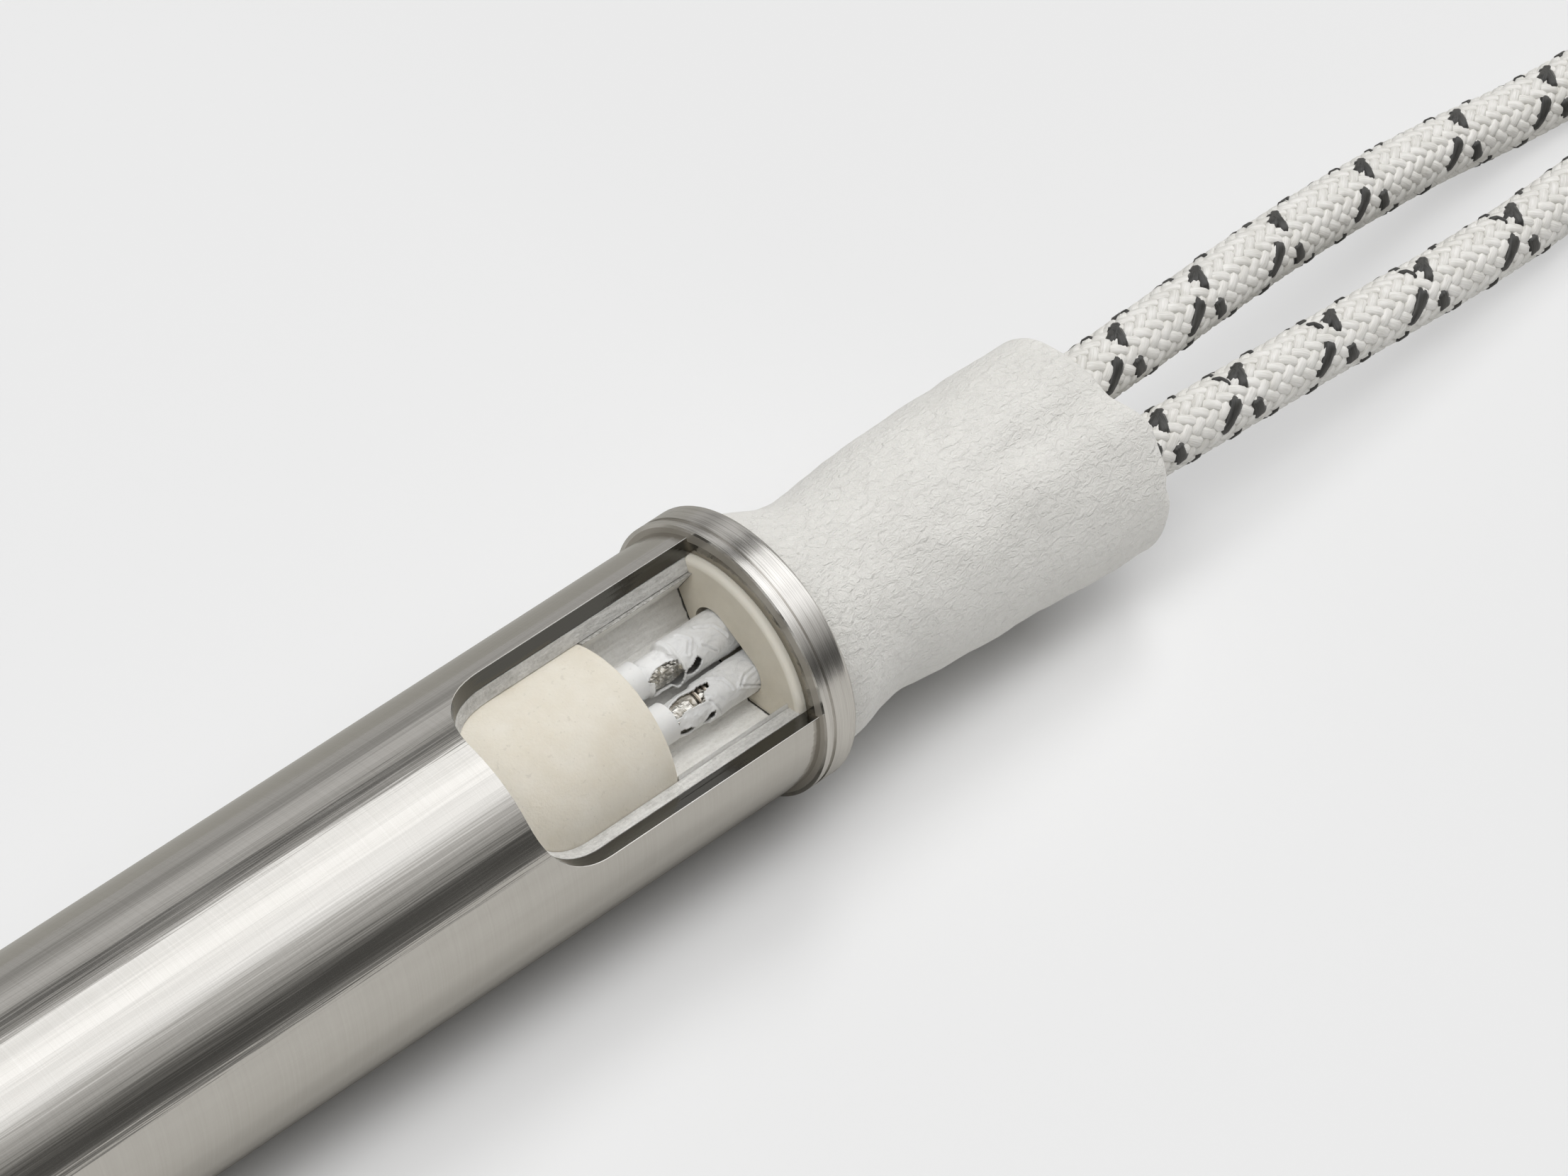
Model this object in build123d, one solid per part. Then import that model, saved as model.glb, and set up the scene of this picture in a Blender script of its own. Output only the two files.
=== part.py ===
from build123d import *
import math
import os

# Cartridge heater with a window cut in its sheath, lying on a surface. Millimetres.
# +X runs along the heater, from its closed end towards the leads. +Z is up.
# The origin is under the middle of the heater, on the surface that it lies on.

# Sheath, window and closed end
sheath_diameter = 16.0
sheath_wall = 1.0
sheath_length = 100.0
window_length = 19.4
window_half_angle = 50.0
window_corner_radius = 4.25
window_corner_fill = 0.95
window_elevation = 59.4
end_disc_thickness = 2.0
fit_clearance = 0.05

# Collar at the mouth of the sheath, seated on a turned-down end of the sheath
collar_step = 0.55
collar_width = 2.3
collar_seat_depth = 1.5
spigot_step = 0.3
collar_lip_width = 0.4
collar_groove_width = 0.3
collar_groove_depth = 0.12
collar_edge_radius = 0.3

# Insulation and cores
liner_thickness = 0.9
wafer_thickness = 2.0
core_count = 5
core_edge_radius = 0.25
chamber_length = 8.5
heating_wire_width = 1.2
heating_wire_thickness = 0.4
heating_wire_turns = 10
heating_wire_end_margin = 1.0

# Washer at the mouth
washer_proud = 0.45
washer_thickness = 1.75
washer_edge_radius = 0.3

# Terminal pins, their bushes and the wire joints
pin_spacing = 2.8
pin_offset = 2.25
pin_diameter = 1.6
short_pin_depth = 30.0
bush_diameter = 2.34
bush_protrusion = 2.3
bush_seat_depth = 2.0
crimp_wall = 0.2
crimp_length = 3.6
crimp_grip = 1.8
sleeving_diameter = 2.7
sleeving_slot_clearance = 0.05
sleeving_opening_length = 2.1
sleeving_opening_width = 1.5
sleeving_opening_start = 0.2
sleeving_opening_turn = 30.0
wire_bend_station = 5.2
wire_end_straight = 3.0

# Packing under the wires in the chamber
packing_floor_half_width = 2.8
packing_shelf_height = 1.0
packing_wall_half_width = 4.4

# Soft end sleeve, drooping a little around the two leads.
# Each section is its half width along the line through the leads, its half height and its offset.
sleeve_end = 28.0
sleeve_waist_station = 7.6
sleeve_belly_station = 17.0
sleeve_tilt = 37.1
sleeve_neck_clearance = 0.05
sleeve_cavity_end = 14.0
sleeve_cavity_radius = 5.2
sleeve_end_radius = 1.6
sleeve_flare = (7.6, 7.5, 0.0)
sleeve_waist = (6.3, 6.1, 0.4)
sleeve_belly = (6.8, 5.8, 0.5)
sleeve_mouth = (7.0, 4.9, 0.95)

# Leads
lead_diameter = 3.8
lead_free_length = 300.0
lead_tip_diameter = 1.8
lead_tip_length = 8.0
coil_mid_radius = 22.8
coil_track_gap = 0.1
coil_centre_x = 102.0
coil_centre_y = -20.0
coil_entry_length = 21.0
coil_climb_turns = 0.17
coil_fullest_layer = 0.95
tie_width = 3.0
tie_thickness = 0.5
bend_share = 0.45

# Routes of the leads from inside the sleeve to the coil: x from the collar's front face, y, z
lead_1_route = [
    (sleeve_cavity_end, 0.6, 10.25),
    (34.0, 2.1, 9.2),
    (49.0, 4.4, 7.1),
    (63.0, 6.1, 4.1),
    (73.0, 6.3, lead_diameter / 2),
    (82.0, 5.8, lead_diameter / 2),
]
lead_2_route = [
    (sleeve_cavity_end, -2.2, 7.25),
    (33.0, -2.4, 6.1),
    (47.0, -2.2, 4.75),
    (61.0, -1.9, 3.0),
    (72.0, -0.7, lead_diameter / 2),
    (81.0, -0.2, lead_diameter / 2),
]

# Places that follow from the sizes. Stations are measured from the collar's front face.
sheath_radius = sheath_diameter / 2
bore_radius = sheath_radius - sheath_wall
spigot_radius = sheath_radius - spigot_step
collar_radius = sheath_radius + collar_step
seat_x = (sheath_length - sleeve_end) / 2
axis_height = collar_radius
roll = 90.0 - window_elevation
liner_outer_radius = bore_radius - fit_clearance
liner_inner_radius = liner_outer_radius - liner_thickness
core_radius = liner_inner_radius - fit_clearance
wound_core_radius = core_radius - heating_wire_thickness - 2 * fit_clearance
core_end = -chamber_length
stack_start = -sheath_length + end_disc_thickness + wafer_thickness + fit_clearance
core_length = (core_end - stack_start) / core_count
washer_front = -washer_proud
washer_back = washer_front + washer_thickness
bush_end = core_end + bush_protrusion
crimp_diameter = pin_diameter + 2 * crimp_wall
pin_end = bush_end + crimp_grip
sleeving_radius = sleeving_diameter / 2
lead_radius = lead_diameter / 2
track_step = lead_diameter + coil_track_gap
coil_layer = lead_diameter + coil_track_gap / 2
coil_inner_radius = coil_mid_radius - track_step / 2 - lead_radius
coil_outer_radius = coil_mid_radius + track_step / 2 + lead_radius
pin_sides = {"1": 1, "2": -1}


def placed(shape):
    """Turn a piece modelled about the window's middle plane and lay it on the surface."""
    return Pos(seat_x, 0, axis_height) * Rot(X=roll) * shape


def rod(start, end, radius, y=0.0, z=0.0):
    """Round bar along X between two stations."""
    length = end - start
    return Pos(start + length / 2, y, z) * Rot(Y=90) * Cylinder(radius, length)


def tube(start, end, outer, inner, y=0.0, z=0.0):
    """Round tube along X between two stations."""
    return rod(start, end, outer, y, z) - rod(start, end, inner, y, z)


def window_arc(radius):
    """Arc over the window in the plane across the sheath."""
    return Plane.YZ * CenterArc((0, 0), radius, 90 - window_half_angle, 2 * window_half_angle)


def window_cutter():
    """Sector that opens the sheath and liner, its two inner corners rounded."""
    low_radius = core_radius - fit_clearance
    low_half_width = low_radius * math.sin(math.radians(window_half_angle))
    low = window_arc(low_radius)
    high = window_arc(sheath_diameter)
    sides = [Line(high @ 0, low @ 0), Line(high @ 1, low @ 1)]
    face = make_face([high, low] + sides)
    cutter = Pos(-window_length, 0, 0) * extrude(face, window_length, dir=(1, 0, 0))
    corners = [
        edge for edge in cutter.edges().filter_by(GeomType.LINE)
        if abs(edge.center().X + window_length) < fit_clearance
    ]
    return fillet(corners, min(window_corner_radius, window_corner_fill * low_half_width))


def sheath():
    """Tube with a turned-down end that seats in the collar."""
    body = rod(-sheath_length, 0, sheath_radius) + rod(0, collar_seat_depth, spigot_radius)
    body -= rod(-sheath_length, collar_seat_depth, bore_radius)
    return body - window_cutter()


def end_disc():
    return rod(-sheath_length, -sheath_length + end_disc_thickness, bore_radius)


def tip_wafer():
    start = -sheath_length + end_disc_thickness
    return rod(start, start + wafer_thickness, core_radius)


def oxide_liner():
    start = -sheath_length + end_disc_thickness
    body = tube(start, washer_front, liner_outer_radius, liner_inner_radius)
    return body - window_cutter()


def pin_holes(start, end, radius):
    """Two parallel rods in the places of the terminal pins."""
    half = pin_spacing / 2
    return rod(start, end, radius, half, pin_offset) + rod(start, end, radius, -half, pin_offset)


def wound_core(index):
    start = stack_start + index * core_length
    end = start + core_length
    body = rod(start, end, wound_core_radius)
    return body - pin_holes(start, end, pin_diameter / 2)


def header_core():
    start = core_end - core_length
    body = rod(start, core_end, core_radius)
    rims = body.edges().filter_by(GeomType.CIRCLE)
    body = fillet(rims, core_edge_radius)
    body -= pin_holes(start, core_end, pin_diameter / 2)
    return body - pin_holes(core_end - bush_seat_depth, core_end, bush_diameter / 2)


def heating_wire():
    """Flat resistance wire wound on the four wound cores."""
    length = (core_count - 1) * core_length - 2 * heating_wire_end_margin
    radius = wound_core_radius + fit_clearance + heating_wire_thickness / 2
    path = Helix(length / heating_wire_turns, length, radius)
    outward = Vector((path @ 0).X, (path @ 0).Y, 0)
    plane = Plane(origin=path @ 0, x_dir=outward, z_dir=path % 0)
    coil = sweep(plane * Rectangle(heating_wire_thickness, heating_wire_width), path, is_frenet=True)
    return Pos(stack_start + heating_wire_end_margin, 0, 0) * Rot(Y=90) * coil


def terminal_pin(name):
    depth = -sheath_length if name == "2" else -short_pin_depth
    start = max(depth, stack_start)
    return rod(start, pin_end, pin_diameter / 2, pin_sides[name] * pin_spacing / 2, pin_offset)


def pin_bush(name):
    side = pin_sides[name] * pin_spacing / 2
    start = core_end - bush_seat_depth
    return tube(start, bush_end, bush_diameter / 2, pin_diameter / 2, side, pin_offset)


def crimp(name):
    side = pin_sides[name] * pin_spacing / 2
    return tube(bush_end, bush_end + crimp_length, crimp_diameter / 2, pin_diameter / 2, side, pin_offset)


def chamber_packing():
    """Packing below the wires, with a channel that the two wires lie in."""
    floor = pin_offset - sleeving_radius
    shelf = floor + packing_shelf_height
    wall = packing_wall_half_width
    half = packing_floor_half_width
    channel = Polyline(
        (-wall, sheath_radius), (-wall, shelf), (-half, floor),
        (half, floor), (wall, shelf), (wall, sheath_radius), close=True
    )
    channel_face = Plane.YZ * make_face(channel)
    body = rod(core_end, washer_front, core_radius)
    cutter = Pos(core_end, 0, 0) * extrude(channel_face, chamber_length, dir=(1, 0, 0))
    return body - cutter


def mouth_washer():
    body = rod(washer_front, washer_back, bore_radius - fit_clearance)
    front_rim = body.edges().filter_by(GeomType.CIRCLE).sort_by(Axis.X)[0]
    body = fillet(front_rim, washer_edge_radius)
    slot_height = sleeving_diameter + 2 * sleeving_slot_clearance
    slot = Plane.YZ * Pos(0, pin_offset) * SlotCenterToCenter(pin_spacing, slot_height)
    return body - extrude(slot, washer_thickness, both=True, dir=(1, 0, 0))


def collar():
    """Turned ring with a thin front lip, a groove behind it and a rounded rear edge."""
    body = rod(0, collar_width, collar_radius)
    rear_rim = body.edges().filter_by(GeomType.CIRCLE).sort_by(Axis.X)[-1]
    body = fillet(rear_rim, collar_edge_radius)
    groove_end = collar_lip_width + collar_groove_width
    body -= tube(collar_lip_width, groove_end, 2 * collar_radius, collar_radius - collar_groove_depth)
    body -= rod(0, collar_seat_depth, spigot_radius)
    return body - rod(0, collar_width, bore_radius)


def sleeve_plane(station, offset):
    """Plane across the sleeve, its X direction along the line through the two leads."""
    tilt = math.radians(sleeve_tilt)
    across = Vector(0, -math.cos(tilt), -math.sin(tilt))
    origin = Vector(seat_x + station, 0, axis_height) + across * offset
    return Plane(origin=origin, x_dir=across, z_dir=(1, 0, 0))


def sleeve_section(station, half_width, half_height, offset):
    return sleeve_plane(station, offset) * Ellipse(half_width, half_height)


def lead_hole(route):
    """Straight hole for a lead, from inside the cavity out through the sleeve's end."""
    start, corner = lead_point(route[0]), lead_point(route[1])
    along = (corner - start).normalized()
    plane = Plane(origin=start - along * lead_radius, z_dir=along)
    return extrude(plane * Circle(lead_radius), sleeve_end)


def end_sleeve():
    """Soft sleeve: a neck in the collar, a flare, a waist and a fuller end around the leads."""
    body = loft([
        sleeve_section(collar_width, *sleeve_flare),
        sleeve_section(sleeve_waist_station, *sleeve_waist),
        sleeve_section(sleeve_belly_station, *sleeve_belly),
        sleeve_section(sleeve_end, *sleeve_mouth),
    ])
    body = fillet(body.faces().sort_by(Axis.X)[-1].edges(), sleeve_end_radius)
    neck = placed(rod(washer_back, collar_width, bore_radius - sleeve_neck_clearance))
    cavity = placed(rod(washer_back, sleeve_cavity_end, sleeve_cavity_radius))
    return body + neck - cavity - lead_hole(lead_1_route) - lead_hole(lead_2_route)


def lead_point(point):
    return Vector(seat_x + point[0], point[1], point[2])


def corner_radii(points):
    """Radius at each inner point: as large as its two runs allow."""
    radii = []
    for before, point, after in zip(points, points[1:], points[2:]):
        turn = math.radians((point - before).get_angle(after - point))
        shorter = min((point - before).length, (after - point).length)
        radii.append(bend_share * shorter / math.tan(turn / 2))
    return radii


def swept(points, outer, inner=0.0):
    """Round bar or tube along straight runs that are joined by tangent arcs."""
    path = FilletPolyline(*points, radius=corner_radii(points))
    plane = Plane(origin=points[0], z_dir=points[1] - points[0])
    body = sweep(plane * Circle(outer), path)
    if inner:
        body -= sweep(plane * Circle(inner), path)
    return body, path


def wire_route(name, start, route):
    """Points of a wire from a station in the chamber to the lead inside the sleeve."""
    anchor = placed(Pos(start, pin_sides[name] * pin_spacing / 2, pin_offset) * Vertex(0, 0, 0))
    first = anchor.center()
    lead_start = lead_point(route[0])
    lead_dir = (lead_point(route[1]) - lead_start).normalized()
    straight = Vector(seat_x + wire_bend_station, first.Y, first.Z)
    joint = lead_start - lead_dir * wire_end_straight
    return [first, straight, joint, lead_start]


def wire_sleeving(name, route):
    """Sleeving over the joint, with a torn opening over the crimp."""
    body, _ = swept(wire_route(name, bush_end, route), sleeving_radius, crimp_diameter / 2)
    side = pin_sides[name]
    opening = Box(sleeving_opening_length, sleeving_opening_width, sleeving_radius)
    start = bush_end + sleeving_opening_start + sleeving_opening_length / 2
    opening = Pos(0, 0, sleeving_radius) * opening
    opening = Pos(start, side * pin_spacing / 2, pin_offset) * Rot(X=side * sleeving_opening_turn) * opening
    return body - placed(opening)


def conductor(name, route):
    body, _ = swept(wire_route(name, pin_end, route), pin_diameter / 2)
    return body


def lead(name, route):
    points = [lead_point(point) for point in route]
    body, path = swept(points, lead_radius)
    section = math.pi * lead_radius ** 2
    print(f"lead_{name} radii", [round(radius, 1) for radius in corner_radii(points)])
    print(f"lead_{name} length {path.length:.1f}, volume over section {body.volume / section:.1f}")
    return body, path.length


def coil_ring(inner, outer, low):
    """One layer of the coil between two radii, as a full ring."""
    ring = extrude(Circle(outer) - Circle(inner), coil_layer)
    return Pos(seat_x + coil_centre_x, coil_centre_y, low) * ring


def coil_part_ring(inner, outer, low, turns):
    """Upper layer of one lead, clockwise from where the lead has climbed to it, just before the entry."""
    reach = 2 * outer
    share = min(turns + coil_climb_turns, coil_fullest_layer)
    arc = CenterArc((0, 0), reach, 90 - 360 * turns, 360 * share)
    wedge = make_face([arc, Line(arc @ 0, (0, 0)), Line((0, 0), arc @ 1)])
    placed_wedge = Pos(seat_x + coil_centre_x, coil_centre_y, low) * extrude(wedge, coil_layer)
    return coil_ring(inner, outer, low) & placed_wedge


def coil_turns(route_length, radius):
    """Turns that the rest of a lead makes after its route and its entry to the coil."""
    hidden = sleeve_end - sleeve_cavity_end
    rest = lead_free_length - (route_length - hidden) - coil_entry_length
    return rest / (2 * math.pi * radius)


def coil_tie():
    """Flat band around both layers of the coil, drawn into their underside."""
    width = coil_outer_radius - coil_inner_radius
    top = 2 * coil_layer
    outer = Pos(0, 0, (top + tie_thickness) / 2) * Box(width + 2 * tie_thickness, tie_width, top + tie_thickness)
    inner = Pos(0, 0, (top + tie_thickness) / 2) * Box(width, 2 * tie_width, top - tie_thickness)
    return Pos(seat_x + coil_centre_x + coil_mid_radius, coil_centre_y, 0) * (outer - inner)


def lead_coil(turns_1, turns_2, tie):
    """Both leads wound side by side: a full lower layer and a part of an upper one."""
    body = coil_ring(coil_inner_radius, coil_outer_radius, 0)
    body += coil_part_ring(coil_mid_radius, coil_outer_radius, coil_layer, turns_1 - 1)
    body += coil_part_ring(coil_inner_radius, coil_mid_radius, coil_layer, turns_2 - 1)
    for route in (lead_1_route, lead_2_route):
        before, end = lead_point(route[-2]), lead_point(route[-1])
        plane = Plane(origin=end, z_dir=end - before)
        body += extrude(plane * Circle(lead_radius - coil_track_gap / 2), coil_entry_length)
    return body - tie


def lead_tip(turns, radius):
    """Bare conductor lying on the lower layer, straight on from the end of the lead."""
    angle = math.radians(90 - 360 * (turns - 1))
    start = Vector(
        seat_x + coil_centre_x + radius * math.cos(angle),
        coil_centre_y + radius * math.sin(angle),
        coil_layer + lead_tip_diameter / 2,
    )
    along = Vector(math.sin(angle), -math.cos(angle), 0)
    return extrude(Plane(origin=start, z_dir=along) * Circle(lead_tip_diameter / 2), lead_tip_length)


def build():
    parts = {
        "sheath": placed(sheath()),
        "end_disc": placed(end_disc()),
        "tip_wafer": placed(tip_wafer()),
        "oxide_liner": placed(oxide_liner()),
        "heating_wire": placed(heating_wire()),
        "header_core": placed(header_core()),
        "chamber_packing": placed(chamber_packing()),
        "mouth_washer": placed(mouth_washer()),
        "collar": placed(collar()),
        "end_sleeve": end_sleeve(),
    }
    for index in range(core_count - 1):
        parts[f"wound_core_{index + 1}"] = placed(wound_core(index))
    turns = {}
    tracks = {"1": coil_mid_radius + track_step / 2, "2": coil_mid_radius - track_step / 2}
    for name, route in (("1", lead_1_route), ("2", lead_2_route)):
        parts[f"terminal_pin_{name}"] = placed(terminal_pin(name))
        parts[f"pin_bush_{name}"] = placed(pin_bush(name))
        parts[f"crimp_{name}"] = placed(crimp(name))
        parts[f"wire_sleeving_{name}"] = wire_sleeving(name, route)
        parts[f"conductor_{name}"] = conductor(name, route)
        parts[f"lead_{name}"], length = lead(name, route)
        turns[name] = coil_turns(length, tracks[name])
        parts[f"lead_tip_{name}"] = lead_tip(turns[name], tracks[name])
        print(f"lead_{name} coil turns {turns[name]:.3f}")
    parts["coil_tie"] = coil_tie()
    parts["lead_coil"] = lead_coil(turns["1"], turns["2"], parts["coil_tie"])
    return parts


os.makedirs("parts", exist_ok=True)
for node, shape in build().items():
    export_step(shape, f"parts/{node}.step")
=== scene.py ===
import math

import bpy
import numpy as np
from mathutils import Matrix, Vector, noise


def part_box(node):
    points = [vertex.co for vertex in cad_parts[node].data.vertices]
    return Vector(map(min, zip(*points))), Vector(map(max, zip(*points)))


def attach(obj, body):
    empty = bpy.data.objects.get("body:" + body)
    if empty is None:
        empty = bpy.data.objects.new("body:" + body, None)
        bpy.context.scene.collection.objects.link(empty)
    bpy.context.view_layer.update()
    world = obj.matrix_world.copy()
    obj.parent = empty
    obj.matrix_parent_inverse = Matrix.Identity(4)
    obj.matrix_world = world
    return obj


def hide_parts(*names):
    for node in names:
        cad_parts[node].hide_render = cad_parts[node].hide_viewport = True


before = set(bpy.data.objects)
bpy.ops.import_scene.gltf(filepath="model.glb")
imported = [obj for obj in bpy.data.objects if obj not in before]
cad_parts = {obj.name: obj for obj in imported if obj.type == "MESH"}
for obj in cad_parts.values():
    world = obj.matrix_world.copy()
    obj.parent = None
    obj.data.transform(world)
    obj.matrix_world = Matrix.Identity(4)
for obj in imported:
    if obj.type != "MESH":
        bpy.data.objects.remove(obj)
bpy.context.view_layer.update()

# Cartridge heater with a window onto its wire joints. Blender metres, in the frame of the CAD part.
# Lengths are written in millimetres and angles in degrees. MM turns millimetres into metres.
MM = 0.001
TAU = 2 * math.pi

# The heater's own axes: x from the collar's front face, and the window's middle turned from straight up
COLLAR_LOW, COLLAR_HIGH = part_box("collar")
FACE_X = COLLAR_LOW.x / MM
AXIS_Z = (COLLAR_LOW.z + COLLAR_HIGH.z) / 2 / MM
WINDOW_ROLL = math.radians(30.6)

# Camera of the photograph
CAMERA_PLACE = (-158.18, -210.59, 289.64)
CAMERA_AZIMUTH = -43.38
CAMERA_ELEVATION = 43.89
CAMERA_LENS = 167.7
SENSOR_WIDTH = 36.0

# Studio light as bright surfaces mirror it: degrees over the heater from its far side, and brightness there
MIRRORED_LIGHT = [
    (0, 0.50), (8, 0.46), (14, 0.34), (20, 0.35), (29, 0.58), (35, 0.67), (40, 0.60), (46, 0.48),
    (50, 0.28), (54.5, 0.07), (58, 0.17), (61, 0.34), (67, 0.60), (70, 1.40), (78, 1.19), (89, 1.51),
    (96, 1.57), (106, 1.24), (113, 1.43), (119, 1.17), (124, 1.07), (132, 0.68), (139, 0.54),
    (146, 0.40), (153, 0.20), (163, 0.08), (172, 0.12), (178, 0.28),
]
MIRRORED_MOST = 1.6

# The same light as it falls on matt surfaces, and one lamp in it
SOFT_LIGHT = [
    (0, 0.15), (50, 0.15), (62, 0.24), (76, 0.54), (90, 2.13), (102, 2.38), (114, 1.30), (128, 0.76),
    (142, 0.10), (165, 0.04), (180, 0.03),
]
SOFT_MOST = 2.5
LAMP_DIRECTION = (0.56, 0.36, 0.74)
LAMP_LIGHT = 7.2
LAMP_EDGE = (0.972, 0.990)

# Floor and backdrop. Round the leads the floor glows for camera rays, painted light that softens its
# shadows, less on the heater's near side.
BACKDROP = (0.82, 0.82, 0.82)
FLOOR_COLOUR = (0.81, 0.81, 0.81)
FLOOR_HALF_WIDTH = 2500.0
PAINTED_LIGHT_SHARE = 0.6
PAINTED_LIGHT_STATIONS = (20.0, 35.0)
PAINTED_LIGHT_SIDES = (-12.0, -3.0)
PAINTED_LIGHT_NEAR_SHARE = 0.3

# Leads
LEAD_DIAMETER = 3.8
LEAD_RADIUS = LEAD_DIAMETER / 2
LEAD_CORE_RADIUS = 1.42
LEAD_ROUTES = {
    "1": [
        (14.0, 0.6, 10.25), (34.0, 2.1, 9.2), (49.0, 4.4, 7.1),
        (63.0, 6.1, 4.1), (73.0, 6.3, 1.9), (82.0, 5.8, 1.9),
    ],
    "2": [
        (14.0, -2.2, 7.25), (33.0, -2.4, 6.1), (47.0, -2.2, 4.75),
        (61.0, -1.9, 3.0), (72.0, -0.7, 1.9), (81.0, -0.2, 1.9),
    ],
}

# The put-away coil of both leads, its middle measured like the routes. Ramps are in degrees turned.
COIL_MIDDLE = (102.0, -20.0)
COIL_RADII = {"1": 24.75, "2": 20.85}
COIL_TURNS = {"1": 1.44, "2": 1.723}
COIL_RAMPS = {"1": (270.0, 318.0), "2": (280.0, 325.0)}
COIL_LOW = LEAD_RADIUS
COIL_HIGH = 5.78
POINTS_A_TURN = 20

# Braid of the leads
CARRIERS = 16
BRAID_PITCH = 17.0
YARN_SIDES = 6
YARN_WIDTH = 0.73
YARN_THICKNESS = 0.40
YARN_OVER = 1.71
YARN_UNDER = 1.47
RINGS_A_CROSSING = 3
YARN_SHIFTS = 97
BRAID_START = 11.0
BRAID_END = 72.0

# Dark floats of the tracer yarns: half width, then stations along the lead and degrees from straight up
TRACER_HEIGHT = 1.825
TRACER_THICKNESS = 0.34
TRACER_LOW = YARN_UNDER + 0.12
TRACER_REPEAT = 8.5
TRACER_END_GAP = 2.5
TRACER_STATIONS = {"1": (10.3, 18.1, 25.7, 33.7, 42.5, 52.0), "2": (9.1, 17.0, 23.5, 31.5, 39.6, 48.0)}
TRACER_MARKS = [
    (0.44, [(-2.05, 91), (-1.4, 75), (-0.85, 58), (-0.2, 36)]),
    (0.36, [(1.9, -26), (1.1, -9), (0.15, 7)]),
    (0.40, [(0.5, 34), (0.9, 8), (1.4, -28)]),
    (0.54, [(0.95, 58), (1.05, 80), (1.2, 102)]),
    (0.25, [(-0.7, -46), (0.1, -34)]),
    (0.22, [(3.0, -48), (3.5, -35)]),
    (0.24, [(2.1, 124), (3.0, 108)]),
    (0.26, [(5.3, 126), (6.4, 108)]),
]
TRACER_EXTRAS = {"1": [], "2": [(0.17, [(-0.75, -19), (-0.25, -10), (-0.1, 14)])]}

# Round the back both tracers carry on as floats: first station and degrees, degrees a millimetre, and count
TRACER_BACK = [(5.3, 126, -18.0, 5), (1.2, 102, 32.0, 3)]
FLOAT_HALF_WIDTH = 0.36
FLOAT_STEP = 2.1
FLOAT_LENGTH = 1.15


def heater(x, y, z):
    """Row point, in metres, of a point in the heater's own axes in millimetres."""
    c, s = math.cos(WINDOW_ROLL), math.sin(WINDOW_ROLL)
    return Vector((FACE_X + x, y * c - z * s, AXIS_Z + y * s + z * c)) * MM


def smooth(t):
    """Ease from 0 to 1."""
    t = min(1.0, max(0.0, t))
    return t * t * (3 - 2 * t)


def eased(t, low, high, slope_low, slope_high):
    """Cubic from low to high as t goes from 0 to 1, with the slopes that it has at its two ends."""
    rise = 3 * t**2 - 2 * t**3
    return low * (1 - rise) + high * rise + slope_low * (t**3 - 2 * t**2 + t) + slope_high * (t**3 - t**2)


def hump(value, height, middle, reach):
    """Smooth rise of this height at the middle, almost gone at twice the reach."""
    return height * np.exp(-(((value - middle) / reach) ** 2))


# Node materials


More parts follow.
